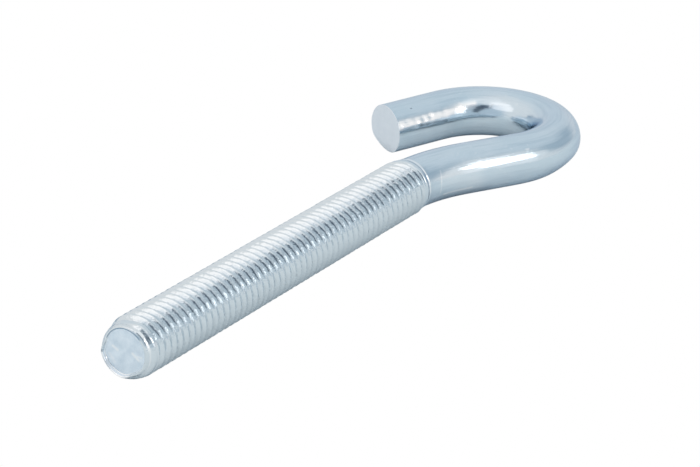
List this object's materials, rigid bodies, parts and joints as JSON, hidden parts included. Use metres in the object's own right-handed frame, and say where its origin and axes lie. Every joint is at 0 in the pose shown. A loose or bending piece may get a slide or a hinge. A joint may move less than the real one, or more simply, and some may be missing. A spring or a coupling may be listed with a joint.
{
  "type": "screw hook",
  "caption": "Bent steel rod hook with a machine thread along its straight shank and an open eye that holds a rope, ring or chain link.",
  "frame": {"origin": "on the shank's axis where the straight thread ends and the neck bend begins", "axes": "+X along the shank from the free end towards the eye, +Y in the plane of the hook towards the tip, +Z square to the plane of the hook"},
  "size_m": [0.1011, 0.0303, 0.0078],
  "materials": {
    "zinc_plate": "bright bluish zinc plating on cold-bent steel rod"
  },
  "bodies": {
    "root": {"hook": "zinc_plate"}
  },
  "joints": []
}
